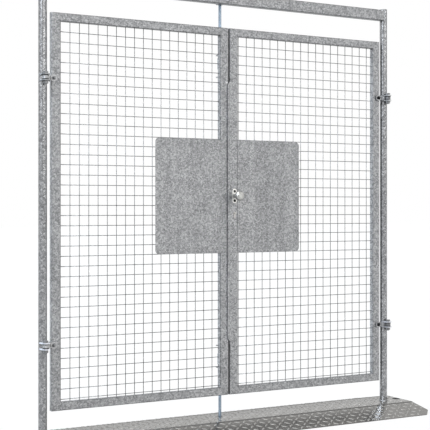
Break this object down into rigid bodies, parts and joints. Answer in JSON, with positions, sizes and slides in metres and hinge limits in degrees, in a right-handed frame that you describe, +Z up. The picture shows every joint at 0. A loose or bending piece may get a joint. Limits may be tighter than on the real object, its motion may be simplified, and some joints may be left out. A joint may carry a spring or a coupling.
{
  "type": "double-leaf temporary fence gate on a ramp",
  "caption": "Free-standing double-leaf site gate: round posts and a header on a tread-plate ramp, mesh leaves with guard plates, a locking knob and shoot bolts.",
  "frame": {"origin": "on the ground under the middle of the ramp", "axes": "+X along the gate to the right as seen from the side that it opens to, +Y through the gate away from that side, +Z up"},
  "size_m": [2.312, 0.622, 2.293],
  "materials": {
    "galvanised_tube": "spangled galvanised, half matt",
    "galvanised_sheet": "spangled galvanised, half matt",
    "tread_plate": "galvanised tread plate with raised bars, satin",
    "mesh_wire": "galvanised wire",
    "zinc_plated_bar": "bright zinc plated",
    "satin_fitting": "satin",
    "lock_metal": "nickel plated"
  },
  "bodies": {
    "frame": {"ramp_deck": "tread_plate", "front_ramp": "tread_plate", "rear_ramp": "tread_plate", "ramp_ribs": "tread_plate", "left_post": "galvanised_tube", "right_post": "galvanised_tube", "left_post_cap": "galvanised_sheet", "right_post_cap": "galvanised_sheet", "header_beam": "galvanised_tube", "bolt_keeper": "galvanised_tube", "left_hinge_lugs": "galvanised_tube", "right_hinge_lugs": "galvanised_tube", "left_hinge_pins": "zinc_plated_bar", "right_hinge_pins": "zinc_plated_bar"},
    "left_leaf": {"left_hinge_stile": "galvanised_tube", "left_meeting_stile": "galvanised_tube", "left_top_rail": "galvanised_tube", "left_bottom_rail": "galvanised_tube", "left_mesh_upper": "mesh_wire", "left_mesh_lower": "mesh_wire", "left_guard_plate": "galvanised_sheet", "left_upper_hinge_strap": "galvanised_tube", "left_lower_hinge_strap": "galvanised_tube", "upper_bolt_guides": "galvanised_tube", "lower_bolt_guides": "galvanised_tube"},
    "right_leaf": {"right_hinge_stile": "galvanised_tube", "right_meeting_stile": "galvanised_tube", "right_top_rail": "galvanised_tube", "right_bottom_rail": "galvanised_tube", "right_mesh_upper": "mesh_wire", "right_mesh_lower": "mesh_wire", "right_guard_plate": "galvanised_sheet", "right_upper_hinge_strap": "galvanised_tube", "right_lower_hinge_strap": "galvanised_tube", "cover_strip": "galvanised_sheet", "knob_escutcheon": "satin_fitting", "door_knob": "satin_fitting", "lock_cylinder": "lock_metal", "lever_escutcheon": "satin_fitting", "rear_lever": "satin_fitting"},
    "upper_bolt": {"upper_bolt": "zinc_plated_bar"},
    "lower_bolt": {"lower_bolt": "zinc_plated_bar"}
  },
  "joints": [
    {"name": "left_leaf_hinge", "type": "hinge", "parent": "frame", "child": "left_leaf", "pos_m": [-1.0375, -0.0415, 0.482], "axis": [0, 0, -1], "range_deg": [0, 170]},
    {"name": "right_leaf_hinge", "type": "hinge", "parent": "frame", "child": "right_leaf", "pos_m": [1.0375, -0.0415, 0.482], "axis": [0, 0, 1], "range_deg": [0, 170]},
    {"name": "upper_bolt_slide", "type": "slide", "parent": "left_leaf", "child": "upper_bolt", "axis": [0, 0, -1], "range_m": [0, 0.034]},
    {"name": "lower_bolt_slide", "type": "slide", "parent": "left_leaf", "child": "lower_bolt", "axis": [0, 0, 1], "range_m": [0, 0.034]}
  ]
}
